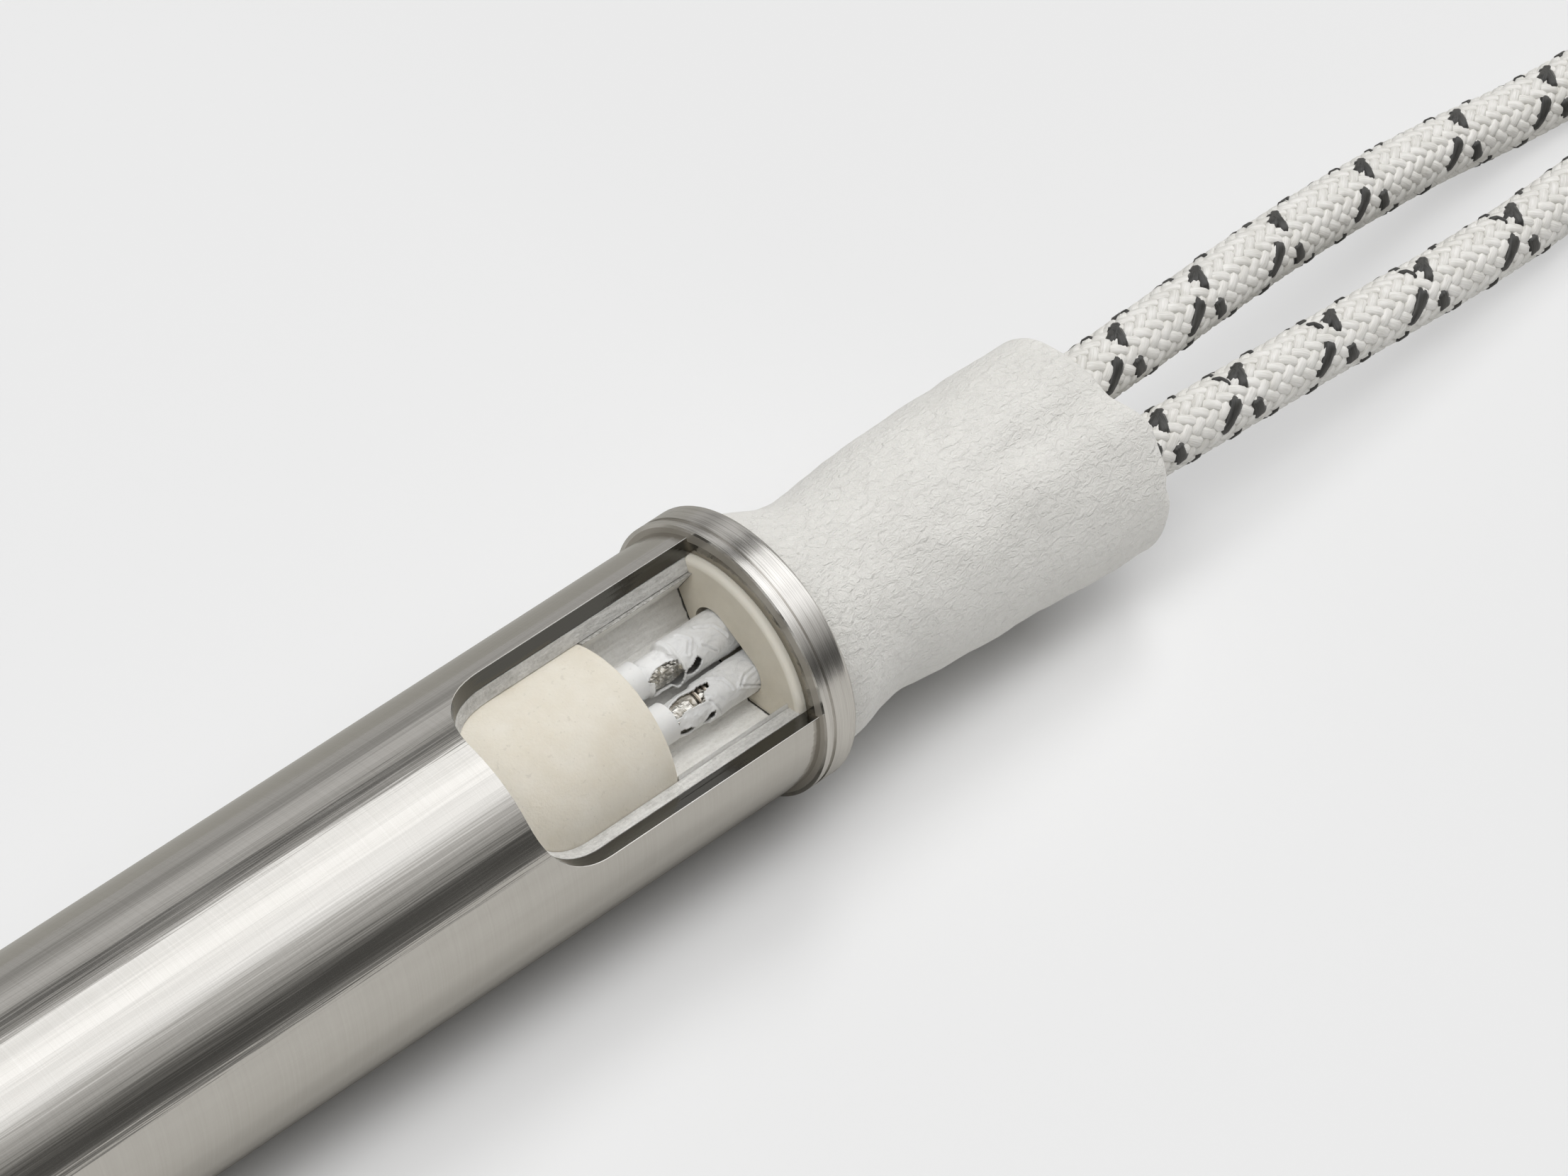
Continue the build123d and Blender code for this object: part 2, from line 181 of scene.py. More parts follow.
class Paint:
    """A material being made: its node tree and its one main shader."""

    def __init__(self, name, colour, roughness, metallic=0.0):
        self.material = bpy.data.materials.new(name)
        self.material.use_nodes = True
        self.tree = self.material.node_tree
        self.shader = self.tree.nodes["Principled BSDF"]
        self.colour((*colour, 1.0))
        self.set("Roughness", roughness)
        self.set("Metallic", metallic)

    def set(self, socket, value):
        """Give a socket of the main shader a value or a link."""
        self.feed(self.shader.inputs[socket], value)

    def colour(self, value):
        self.set("Base Color", value)

    def feed(self, socket, value):
        if isinstance(value, bpy.types.NodeSocket):
            self.tree.links.new(value, socket)
        else:
            socket.default_value = value

    def node(self, kind, settings=None, **values):
        """Add a node. Keys of values are input names with _ for a space, or input numbers as i0, i1."""
        made = self.tree.nodes.new("ShaderNode" + kind)
        for key, value in (settings or {}).items():
            setattr(made, key, value)
        for key, value in values.items():
            place = int(key[1:]) if key[0] == "i" and key[1:].isdigit() else key.replace("_", " ")
            self.feed(made.inputs[place], value)
        return made

    def math(self, operation, first, second=0.0, third=0.0):
        made = self.node("Math", {"operation": operation}, i0=first, i1=second)
        if operation in ("MULTIPLY_ADD", "COMPARE"):
            self.feed(made.inputs[2], third)
        return made.outputs[0]

    def times(self, first, second):
        return self.math("MULTIPLY", first, second)

    def blend(self, first, share, second):
        """Sum of two values, the first one with its share and the second one with the rest."""
        return self.math("MULTIPLY_ADD", first, share, self.times(second, 1 - share))

    def place(self):
        """Place on the object, in the row frame, in metres."""
        return self.node("TexCoord").outputs["Object"]

    def heater_place(self):
        """Place in the heater's own axes, in millimetres: vector, x, y and z."""
        mapped = self.node(
            "Mapping", {"vector_type": "TEXTURE"}, Vector=self.place(),
            Location=heater(0, 0, 0), Rotation=(WINDOW_ROLL, 0, 0), Scale=(MM, MM, MM),
        ).outputs[0]
        parts = self.node("SeparateXYZ", Vector=mapped).outputs
        return mapped, parts[0], parts[1], parts[2]

    def radius(self, y, z):
        """Distance from the heater's axis."""
        return self.math("SQRT", self.math("MULTIPLY_ADD", y, y, self.times(z, z)))

    def scaled(self, vector, scale):
        return self.node("Mapping", Vector=vector, Scale=scale).outputs[0]

    def noise(self, vector, scale, detail=3.0, roughness=0.55, distortion=0.0):
        return self.node(
            "TexNoise", Vector=vector, Scale=scale, Detail=detail,
            Roughness=roughness, Distortion=distortion,
        ).outputs[0]

    def ramp(self, factor, stops):
        """Colour ramp from (position, grey or colour) stops."""
        made = self.node("ValToRGB", Fac=factor)
        band = made.color_ramp
        while len(band.elements) < len(stops):
            band.elements.new(0.5)
        for element, (position, colour) in zip(band.elements, stops):
            element.position = position
            colour = (colour,) * 3 if isinstance(colour, (int, float)) else colour
            element.color = (*colour, 1.0)
        return made.outputs[0]

    def between(self, factor, low, high):
        """Mix two colours, each a link or a triple."""
        made = self.node("Mix", {"data_type": "RGBA"}, i0=factor)
        for index, colour in ((6, low), (7, high)):
            linked = isinstance(colour, bpy.types.NodeSocket)
            self.feed(made.inputs[index], colour if linked else (*colour, 1.0))
        return made.outputs[2]

    def remap(self, value, low, high, out_low=0.0, out_high=1.0):
        return self.node("MapRange", i0=value, i1=low, i2=high, i3=out_low, i4=out_high).outputs[0]

    def bump(self, height, distance, normal):
        made = self.node("Bump", Height=height, Distance=distance * MM, Strength=1.0)
        if normal is not None:
            self.feed(made.inputs["Normal"], normal)
        return made.outputs[0]

    def relief(self, *layers):
        """Bumps from (height, depth in millimetres) layers, each on top of the ones before."""
        normal = None
        for height, depth in layers:
            normal = self.bump(height, depth, normal)
        self.set("Normal", normal)

    def let_light_in(self, share, depths):
        """Let a share of the light into the surface, to a depth in millimetres for each colour."""
        self.set("Subsurface Weight", share)
        self.set("Subsurface Radius", [depth * MM for depth in depths])


# How deep light goes into the ceramics, in millimetres of red, green and blue
CERAMIC_DEPTHS = (0.8, 0.6, 0.4)


def steel_paint(name, colour, roughness, ring_scale):
    """Turned or brushed steel: rings round the heater's axis, fine and broad, and streaks along it."""
    paint = Paint(name, colour, roughness, metallic=1.0)
    place, x, y, z = paint.heater_place()
    rings = paint.scaled(place, (ring_scale, 0.12, 0.12))
    streaks = paint.scaled(place, (0.02, 0.75, 0.75))
    return paint, {
        "along": x,
        "angle": paint.times(paint.math("ARCTAN2", y, z), -1.0),
        "radius": paint.radius(y, z),
        "fine": paint.noise(rings, 1.0, detail=4.0, roughness=0.7),
        "broad": paint.noise(paint.scaled(rings, (0.12, 1.0, 1.0)), 1.0, detail=2.0),
        "streak": paint.noise(streaks, 1.0, detail=4.0, roughness=0.6),
        "cloud": paint.noise(place, 0.10, detail=2.0),
    }


def sheath_paint():
    """Brushed tube. Round the window its cut and its bore are duller, painted lighter by the mouth as
    painted light, and the cut's outer edge carries a painted highlight.
    """
    window_reach, cut_radius, highlight_radius, highlight_width = -30.0, 7.93, 7.955, 0.028
    paint, made = steel_paint("sheath steel", (0.60, 0.585, 0.56), 0.15, 9.0)
    grain = paint.blend(made["fine"], 0.5, made["streak"])
    shade = paint.ramp(grain, [(0.34, (0.575, 0.56, 0.53)), (0.64, (0.64, 0.625, 0.60))])
    by_window = paint.math("GREATER_THAN", made["along"], window_reach)
    inside = paint.times(paint.math("LESS_THAN", made["radius"], cut_radius), by_window)
    # Painted highlight: a thin bright line, not metal, along the cut's outer edge, standing in for the light
    # it catches.
    edge = paint.math("COMPARE", made["radius"], highlight_radius, highlight_width)
    edge = paint.times(edge, by_window)
    # Painted light: by the mouth the cut's dark colour is painted lighter, lifting the shade that falls
    # there.
    painted_light_at_mouth = paint.remap(made["along"], -0.5, 0.1)
    dull = paint.ramp(painted_light_at_mouth, [(0.3, (0.12, 0.118, 0.11)), (1.0, (0.36, 0.335, 0.29))])
    cut = paint.between(inside, shade, dull)
    paint.colour(paint.between(edge, cut, (0.80, 0.79, 0.77)))
    paint.set("Metallic", paint.math("SUBTRACT", 1.0, edge))
    paint.set("Roughness", paint.remap(made["cloud"], 0.35, 0.65, 0.09, 0.15))
    paint.relief((made["streak"], 0.05), (made["fine"], 0.0025))
    return paint


def collar_paint():
    """Turned ring, dull inside its lip and slightly crowned from side to side."""
    lip_radius = 8.32
    paint, made = steel_paint("collar steel", (0.62, 0.605, 0.58), 0.17, 14.0)
    shade = paint.ramp(made["fine"], [(0.32, (0.47, 0.455, 0.43)), (0.55, (0.70, 0.685, 0.66))])
    inner = paint.math("LESS_THAN", made["radius"], lip_radius)
    paint.colour(paint.between(inner, shade, (0.36, 0.335, 0.29)))
    paint.set("Metallic", paint.remap(inner, 0.0, 1.0, 1.0, 0.35))
    paint.set("Roughness", paint.remap(made["fine"], 0.3, 0.7, 0.12, 0.24))
    paint.relief((made["angle"], 0.45), (made["broad"], 0.04), (made["fine"], 0.009))
    return paint


def ceramic_paint(name, light, dark, pit_scale, pit_depth, roughness):
    """Fired ceramic: cloudy colour, fine grain and small pits."""
    paint = Paint(name, light, roughness)
    place = paint.heater_place()[0]
    cloud = paint.noise(place, 0.35, detail=4.0, roughness=0.6)
    grain = paint.noise(place, pit_scale, detail=4.0, roughness=0.65)
    speck = paint.ramp(paint.noise(place, 3.1, detail=2.0), [(0.30, 1.0), (0.36, 0.0)])
    base = paint.between(paint.remap(cloud, 0.35, 0.65), light, dark)
    spotted = paint.times(speck, 0.35)
    paint.colour(paint.between(spotted, base, tuple(c * 0.78 for c in dark)))
    paint.set("Roughness", paint.remap(grain, 0.3, 0.7, roughness - 0.08, roughness + 0.1))
    paint.relief((cloud, 0.08), (grain, pit_depth))
    paint.let_light_in(0.08, CERAMIC_DEPTHS)
    return paint


def fibres(paint, place, across, roughness):
    """Streaks along the heater, a granular surface, and the two blended."""
    streak = paint.noise(paint.scaled(place, (0.7, across, across)), 1.0, detail=5.0, roughness=roughness)
    grain = paint.noise(place, 5.5, detail=4.0, roughness=0.7)
    return streak, grain, paint.blend(streak, 0.6, grain)


def oxide_paint():
    """Packed powder, as it was cut through."""
    light, dark = (0.74, 0.73, 0.70), (0.50, 0.49, 0.465)
    paint = Paint("packed oxide", light, 0.9)
    streak, grain, mixed = fibres(paint, paint.heater_place()[0], 3.2, 0.65)
    paint.colour(paint.between(paint.remap(mixed, 0.38, 0.6), dark, light))
    paint.relief((streak, 0.14), (grain, 0.07))
    return paint


def washer_paint():
    """Beige ceramic disc; its rounded rim is painted paler, a painted highlight."""
    highlight_radii = (6.45, 6.6)
    paint = Paint("washer ceramic", (0.80, 0.745, 0.63), 0.5)
    place, _, y, z = paint.heater_place()
    cloud = paint.noise(place, 0.35, detail=4.0)
    grain = paint.noise(place, 8.0)
    face = paint.ramp(cloud, [(0.3, (0.62, 0.575, 0.475)), (0.7, (0.71, 0.66, 0.555))])
    # Painted highlight: the rim is painted paler where its rounding catches the light.
    rim = paint.remap(paint.radius(y, z), *highlight_radii)
    paint.colour(paint.between(rim, face, (0.86, 0.82, 0.72)))
    paint.relief((cloud, 0.06), (grain, 0.02))
    paint.let_light_in(0.08, CERAMIC_DEPTHS)
    return paint


def packing_paint():
    """Pale streaky packing, with painted shade in its far corner by the washer, and a crack along the washer
    and the liner.
    """
    shade_stations, washer_crack, washer_reach = (-3.4, -0.5), (-0.49, -0.42), 5.75
    liner_crack, liner_start = (5.935, 5.965), 5.8
    paint = Paint("fibre packing", (0.86, 0.845, 0.81), 0.9)
    place, x, y, z = paint.heater_place()
    streak, grain, mixed = fibres(paint, place, 3.0, 0.6)
    shade = paint.ramp(mixed, [(0.34, (0.78, 0.765, 0.73)), (0.56, (0.95, 0.94, 0.91))])
    # Painted shade: the far side darkens towards the washer, as shade in that corner.
    corner = paint.remap(x, *shade_stations, 0.0, 0.55)
    corner = paint.times(corner, paint.math("GREATER_THAN", y, 0.3))
    shade = paint.between(corner, shade, (0.46, 0.435, 0.39))
    uneven = paint.times(paint.noise(place, 2.2), 0.22)
    radius = paint.radius(y, z)
    at_washer = paint.remap(paint.math("ADD", x, uneven), *washer_crack)
    at_washer = paint.times(at_washer, paint.math("LESS_THAN", radius, washer_reach))
    at_liner = paint.math("ADD", radius, paint.times(uneven, 0.4))
    at_liner = paint.remap(at_liner, *liner_crack)
    at_liner = paint.times(at_liner, paint.math("GREATER_THAN", y, 0.0))
    at_liner = paint.times(at_liner, paint.remap(grain, 0.35, 0.65, 0.45, 1.0))
    crack = paint.math("MAXIMUM", at_washer, at_liner)
    by_liner = paint.math("GREATER_THAN", radius, liner_start)
    dark = paint.between(by_liner, (0.05, 0.047, 0.04), (0.26, 0.25, 0.225))
    paint.colour(paint.between(crack, shade, dark))
    paint.relief((streak, 0.12), (grain, 0.05))
    return paint


def felt_paint():
    """Soft matte sleeve: pale, with a fine wrinkled grain whose creases carry a little painted shade."""
    paint = Paint("soft sleeve", (0.75, 0.735, 0.70), 0.82)
    place = paint.heater_place()[0]
    cloud = paint.noise(place, 0.22)
    wrinkle = paint.noise(paint.scaled(place, (0.75, 1.2, 1.2)), 2.1, roughness=0.6, distortion=0.9)
    grain = paint.noise(place, 9.0, roughness=0.7)
    shade = paint.ramp(cloud, [(0.3, (0.775, 0.76, 0.72)), (0.7, (0.82, 0.805, 0.765))])
    # Painted shade: the wrinkles' creases are painted a little darker.
    fold = paint.ramp(wrinkle, [(0.32, 1.0), (0.42, 0.0)])
    paint.colour(paint.between(paint.times(fold, 0.10), shade, (0.60, 0.585, 0.55)))
    paint.relief((wrinkle, 0.20), (grain, 0.045))
    paint.set("Sheen Weight", 0.12)
    paint.set("Sheen Roughness", 0.6)
    return paint


def yarn_paint(name, light, dark, sheen):
    """Glass yarn: fine filaments along its length. The mesh's UV holds millimetres across and along."""
    paint = Paint(name, light, 0.38)
    uv = paint.node("TexCoord").outputs["UV"]
    filament = paint.noise(paint.scaled(uv, (14.0, 0.8, 1.0)), 1.0, detail=2.0, roughness=0.6)
    patch = paint.noise(paint.place(), 900.0, detail=2.0)
    mixed = paint.blend(filament, 0.6, patch)
    paint.colour(paint.between(paint.remap(mixed, 0.38, 0.58), dark, light))
    paint.relief((filament, 0.02))
    paint.set("Sheen Weight", sheen)
    return paint


def braid_paint():
    """The same braid as relief in shading, for the put-away coil, its grooves painted darker as painted
    shade. UV holds turns round and pitches along.
    """
    paint = Paint("coil braid", (0.80, 0.79, 0.76), 0.5)
    parts = paint.node("SeparateXYZ", Vector=paint.node("TexCoord").outputs["UV"]).outputs
    around, along = parts[0], parts[1]
    column = paint.math("SINE", paint.times(around, TAU * CARRIERS / 2))
    chosen = paint.math("GREATER_THAN", column, 0.0)
    profiles, marks = [], []
    for operation, top in (("ADD", 0.0), ("SUBTRACT", 1.0)):
        turns = paint.math(operation, around, along)
        lane = paint.math("FRACT", paint.times(turns, float(CARRIERS)))
        centred = paint.math("ABSOLUTE", paint.math("SUBTRACT", lane, 0.5))
        profiles.append(paint.remap(centred, 0.5, 0.0))
        near = paint.math("LESS_THAN", paint.math("FRACT", paint.times(turns, 2.0)), 2.0 / CARRIERS)
        marks.append(paint.times(near, paint.math("COMPARE", chosen, top, 0.1)))
    height = paint.node("Mix", {"data_type": "FLOAT"}, i0=chosen, i2=profiles[0], i3=profiles[1]).outputs[0]
    swell = paint.math("POWER", paint.math("ABSOLUTE", column), 0.35)
    relief = paint.times(paint.math("POWER", height, 0.6), swell)
    # Painted shade: the lower the relief, the darker the colour, as shade between the yarns.
    shade = paint.ramp(relief, [(0.2, (0.62, 0.605, 0.57)), (0.8, (0.835, 0.82, 0.785))])
    tracer = paint.math("MAXIMUM", *marks)
    paint.colour(paint.between(tracer, shade, (0.03, 0.03, 0.028)))
    paint.relief((relief, 0.16))
    return paint


def metal_paint(name, light, dark, roughness, scale):
    """Bare drawn metal with a little tarnish."""
    paint = Paint(name, light, roughness, metallic=1.0)
    place = paint.heater_place()[0]
    tarnish = paint.noise(place, scale, detail=4.0, roughness=0.6)
    paint.colour(paint.between(paint.remap(tarnish, 0.4, 0.62), light, dark))
    paint.set("Roughness", paint.remap(tarnish, 0.3, 0.7, roughness, roughness + 0.2))
    paint.relief((tarnish, 0.03))
    return paint


def strand_paint():
    """Stranded conductor: bright wires laid side by side."""
    paint = Paint("conductor strands", (0.72, 0.66, 0.58), 0.3, metallic=1.0)
    lay = paint.node("TexWave", Vector=paint.place(), Scale=900.0, Distortion=1.5, Detail=2.0).outputs[1]
    paint.colour(paint.ramp(lay, [(0.1, (0.28, 0.24, 0.2)), (0.6, (0.76, 0.70, 0.62))]))
    paint.relief((lay, 0.12))
    return paint


def sleeving_paint():
    """Varnished white sleeving: bright, slightly glossy, with soft folds whose hollows are painted darker as
    painted shade.
    """
    paint = Paint("white sleeving", (0.83, 0.83, 0.82), 0.42)
    place = paint.heater_place()[0]
    fold = paint.noise(paint.scaled(place, (0.8, 1.0, 1.0)), 1.3, distortion=1.2)
    fine = paint.noise(place, 7.0)
    # Painted shade: the folds' hollows are painted darker.
    paint.colour(paint.ramp(fold, [(0.30, (0.76, 0.76, 0.755)), (0.46, (0.84, 0.84, 0.83))]))
    paint.relief((fold, 0.10), (fine, 0.02))
    paint.let_light_in(0.05, (0.5, 0.5, 0.5))
    return paint


def band_paint():
    """Dark woven tie."""
    paint = Paint("tie band", (0.06, 0.06, 0.06), 0.7)
    bands = {"bands_direction": "Z"}
    weave = paint.node("TexWave", bands, Vector=paint.place(), Scale=520.0, Distortion=0.4).outputs[1]
    paint.colour(paint.ramp(weave, [(0.0, 0.035), (1.0, 0.085)]))
    paint.relief((weave, 0.08))
    return paint


# Meshes


def add_object(name, data):
    made = bpy.data.objects.new(name, data)
    bpy.context.scene.collection.objects.link(made)
    return made


def add_mesh(name, points, faces, paints, uv=None, slots=None, flat=False):
    """Mesh piece that rides on the part's root, with its materials and each face's material slot."""
    mesh = bpy.data.meshes.new(name)
    mesh.from_pydata([tuple(p) for p in points], [], faces)
    for paint in paints:
        mesh.materials.append(paint.material)
    if slots is not None:
        mesh.polygons.foreach_set("material_index", np.asarray(slots, np.int32))
    if not flat:
        mesh.polygons.foreach_set("use_smooth", np.ones(len(mesh.polygons), bool))
    if uv is not None:
        layer = mesh.uv_layers.new(name="UVMap")
        corners = np.empty(len(mesh.loops), np.int32)
        mesh.loops.foreach_get("vertex_index", corners)
        layer.data.foreach_set("uv", np.asarray(uv, np.float32)[corners].ravel())
    mesh.update()
    made = add_object(name, mesh)
    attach(made, "root")
    return made


def grid_faces(rings, around, closed=True, start=0):
    """Quads between successive rings of points."""
    row = np.arange(rings - 1)[:, None] * around
    count = around if closed else around - 1
    col = np.arange(count)[None, :]
    nxt = (col + 1) % around
    quads = np.stack([row + col, row + nxt, row + around + nxt, row + around + col], -1)
    return quads.reshape(-1, 4) + start


class Track:
    """A lead's centreline in millimetres, with a frame that stays upright along it."""

    def __init__(self, points):
        self.points = np.asarray(points, float) / MM
        steps = np.linalg.norm(np.diff(self.points, axis=0), axis=1)
        self.stations = np.concatenate([[0.0], np.cumsum(steps)])
        self.length = self.stations[-1]

    def places(self, stations):
        return np.stack([np.interp(stations, self.stations, self.points[:, i]) for i in range(3)], -1)

    def at(self, stations):
        """Places, directions, upward normals and sideways normals at the stations."""
        reach = 0.6
        place = self.places(stations)
        along = self.places(stations + reach) - self.places(stations - reach)
        along /= np.linalg.norm(along, axis=1)[:, None]
        side = np.cross(along, np.array([0.0, 0.0, 1.0]))
        side /= np.linalg.norm(side, axis=1)[:, None]
        up = np.cross(side, along)
        return place, along, up, side


def rings_out(angles, up, side):
    """Directions round a line, one ring for each station, from its upward and sideways directions."""
    return np.cos(angles)[:, None] * up[:, None, :] + np.sin(angles)[:, None] * side[:, None, :]


# Camera, lights and floor


def make_camera():
    data = bpy.data.cameras.new("camera")
    data.lens = CAMERA_LENS
    data.sensor_width = SENSOR_WIDTH
    camera = add_object("camera", data)
    camera.location = [value * MM for value in CAMERA_PLACE]
    camera.rotation_euler = (math.radians(90 - CAMERA_ELEVATION), 0, math.radians(CAMERA_AZIMUTH))
    bpy.context.scene.camera = camera


def make_floor():
    """Pale table top; round the leads it glows for camera rays, painted light that softens its shadows.
    Bright surfaces mirror it duller.
    """
    paint = Paint("floor", FLOOR_COLOUR, 0.95)
    paint.set("Specular IOR Level", 0.0)
    along, across, _ = paint.node("SeparateXYZ", Vector=paint.place()).outputs
    path = paint.node("LightPath").outputs
    backwards = paint.remap(across, -0.03, 0.03)
    mirrored = paint.ramp(backwards, [(0.0, (0.63, 0.615, 0.585)), (1.0, (0.40, 0.39, 0.36))])
    start, full = [(FACE_X + station) * MM for station in PAINTED_LIGHT_STATIONS]
    near, far = [side * MM for side in PAINTED_LIGHT_SIDES]
    # Painted light: share of the floor's shadow lifted by its own glow, growing along the leads and weaker
    # on the near side.
    painted_lift = paint.remap(along, start, full, 0.0, PAINTED_LIGHT_SHARE)
    painted_lift = paint.times(painted_lift, paint.remap(across, near, far, PAINTED_LIGHT_NEAR_SHARE, 1.0))
    painted_lift = paint.times(painted_lift, path["Is Camera Ray"])
    lifted_floor_colour = paint.between(painted_lift, FLOOR_COLOUR, (0.0, 0.0, 0.0))
    paint.colour(paint.between(path["Is Glossy Ray"], lifted_floor_colour, mirrored))
    paint.set("Emission Color", (*BACKDROP, 1.0))
    paint.set("Emission Strength", painted_lift)
    mesh = bpy.data.meshes.new("floor")
    half = FLOOR_HALF_WIDTH * MM
    corners = [(-half, -half, 0), (half, -half, 0), (half, half, 0), (-half, half, 0)]
    mesh.from_pydata(corners, [], [(0, 1, 2, 3)])
    mesh.materials.append(paint.material)
    add_object("floor", mesh)


class Sky(Paint):
    """The world's node tree, with the same helpers as a material."""

    def __init__(self, name):
        self.world = bpy.data.worlds.new(name)
        bpy.context.scene.world = self.world
        self.world.use_nodes = True
        self.tree = self.world.node_tree
        self.shader = self.tree.nodes["Background"]

    def light(self, over, stops, most):
        """Light from (degrees, colour) stops. A ramp holds no more than 1, so it is scaled by the most."""
        shares = [(angle / 180, tuple(part / most for part in colour)) for angle, colour in stops]
        made = self.node("VectorMath", {"operation": "SCALE"}, i0=self.ramp(over, shares), Scale=most)
        return made.outputs[0]


def warmed(level):
    """The duller the light in the steel, the warmer its grey."""
    cool = min(1.0, level / 1.2)
    return level, level * (0.975 + 0.025 * cool), level * (0.925 + 0.075 * cool)


def make_world():
    """Studio round the heater: a broad light overhead, grey sides and a dark band low in front."""
    sky = Sky("studio")
    where = sky.node("TexCoord").outputs["Generated"]
    parts = sky.node("SeparateXYZ", Vector=where).outputs
    over = sky.remap(sky.math("ARCTAN2", parts[2], parts[1]), 0.0, math.pi)
    mirrored = sky.light(over, [(angle, warmed(level)) for angle, level in MIRRORED_LIGHT], MIRRORED_MOST)
    soft = sky.light(over, [(angle, (level,) * 3) for angle, level in SOFT_LIGHT], SOFT_MOST)
    aim = Vector(LAMP_DIRECTION).normalized()
    facing = sky.node("VectorMath", {"operation": "DOT_PRODUCT"}, i0=where, i1=aim).outputs["Value"]
    lamp = sky.remap(facing, *LAMP_EDGE, 0.0, LAMP_LIGHT)
    soft = sky.node("VectorMath", {"operation": "ADD"}, i0=soft, i1=lamp).outputs[0]
    path = sky.node("LightPath").outputs
    chosen = sky.between(path["Is Glossy Ray"], soft, mirrored)
    sky.set("Color", sky.between(path["Is Camera Ray"], chosen, BACKDROP))
    sky.set("Strength", 1.0)


# Leads


def coil_points(name):
    """Points of a lead's turns, clockwise from the top of the coil, then up onto the lower layer."""
    radius = COIL_RADII[name] / math.cos(math.pi / POINTS_A_TURN)
    ramp_start, ramp_end = COIL_RAMPS[name]
    steps = math.ceil(COIL_TURNS[name] * POINTS_A_TURN)
    points = []
    for step in range(steps + 1):
        turned = 360 * COIL_TURNS[name] * step / steps
        climb = smooth((turned - ramp_start) / (ramp_end - ramp_start))
        angle = math.radians(90 - turned)
        points.append((
            COIL_MIDDLE[0] + radius * math.cos(angle),
            COIL_MIDDLE[1] + radius * math.sin(angle),
            COIL_LOW + (COIL_HIGH - COIL_LOW) * climb,
        ))
    return points


def lead_curve(name, route):
    """The whole lead as one smooth line, from inside the sleeve to its end in the coil."""
    points = route + coil_points(name)
    data = bpy.data.curves.new(f"lead_{name}_core", "CURVE")
    data.dimensions = "3D"
    spline = data.splines.new("NURBS")
    spline.points.add(len(points) - 1)
    for point, (x, y, z) in zip(spline.points, points):
        point.co = ((FACE_X + x) * MM, y * MM, z * MM, 1)
    spline.order_u = 3
    spline.use_endpoint_u = True
    data.resolution_u = 10
    curve = add_object(f"lead_{name}_core", data)
    line = bpy.data.meshes.new_from_object(curve)
    track = Track([vertex.co for vertex in line.vertices])
    bpy.data.meshes.remove(line)
    data.bevel_depth = LEAD_CORE_RADIUS * MM
    data.bevel_resolution = 4
    data.use_fill_caps = True
    return curve, track


def yarn_points(track, stations, angles, radii, widths, thicknesses):
    """Rings round a yarn that lies on a lead, given its path, height, half widths and half thicknesses."""
    section = np.arange(YARN_SIDES) * TAU / YARN_SIDES
    place, along, up, side = track.at(stations)
    outward = np.cos(angles)[:, None] * up + np.sin(angles)[:, None] * side
    sideways = np.cos(angles)[:, None] * side - np.sin(angles)[:, None] * up
    run = np.gradient(stations)
    turn = np.gradient(angles) * YARN_OVER
    length = np.hypot(run, turn)
    across = sideways * (run / length)[:, None] - along * (turn / length)[:, None]
    centre = place + outward * radii[:, None]
    off_middle = np.cos(section) * widths[:, None]
    flat = off_middle[..., None] * across[:, None, :]
    high = (np.sin(section) * thicknesses[:, None])[..., None] * outward[:, None, :]
    uv = np.stack(np.broadcast_arrays(off_middle, np.cumsum(length)[:, None]), -1)
    return ((centre[:, None, :] + flat + high) * MM).reshape(-1, 3), uv.reshape(-1, 2)


def add_yarn(heap, points, uv, slot):
    """Add a yarn to the heap, with its UV shifted, so that no two yarns show the same filaments."""
    count = sum(len(yarn[0]) for yarn in heap)
    quads = grid_faces(len(points) // YARN_SIDES, YARN_SIDES, start=count)
    heap.append((points, quads, uv + count % YARN_SHIFTS, np.full(len(quads), slot)))


def plain_yarn(track, index, family, heap):
    """One white yarn of the braid: over two crossings and under two."""
    crossing = BRAID_PITCH / (2 * CARRIERS)
    stations = np.arange(BRAID_START, BRAID_END, crossing / RINGS_A_CROSSING)
    angles = stations / BRAID_PITCH * TAU * family + index * TAU / CARRIERS
    phase = stations / crossing
    met = np.arange(int(phase[0]) - 1, int(phase[-1]) + 3)
    over = (2 * index + family * met) % 4 < 2
    if family > 0:
        over = ~over
    lift = np.sin(np.interp(phase, met, np.where(over, 1.0, -1.0)) * math.pi / 2)
    radii = (YARN_OVER + YARN_UNDER) / 2 + lift * (YARN_OVER - YARN_UNDER) / 2
    widths = YARN_WIDTH / 2 * (0.95 + 0.08 * lift)
    thicknesses = YARN_THICKNESS / 2 * (1.0 + 0.08 * lift)
    add_yarn(heap, *yarn_points(track, stations, angles, radii, widths, thicknesses), 0)


def back_floats():
    """Dark floats on the side that the photograph doesn't show."""
    floats = []
    for station, degrees, slope, count in TRACER_BACK:
        way = math.copysign(1.0, slope)
        for step in range(count):
            start = FLOAT_STEP * (step + 0.45)
            runs = (start, start + FLOAT_LENGTH)
            path = [(station + way * run, degrees + abs(slope) * run) for run in runs]
            floats.append((FLOAT_HALF_WIDTH, path))
    return floats


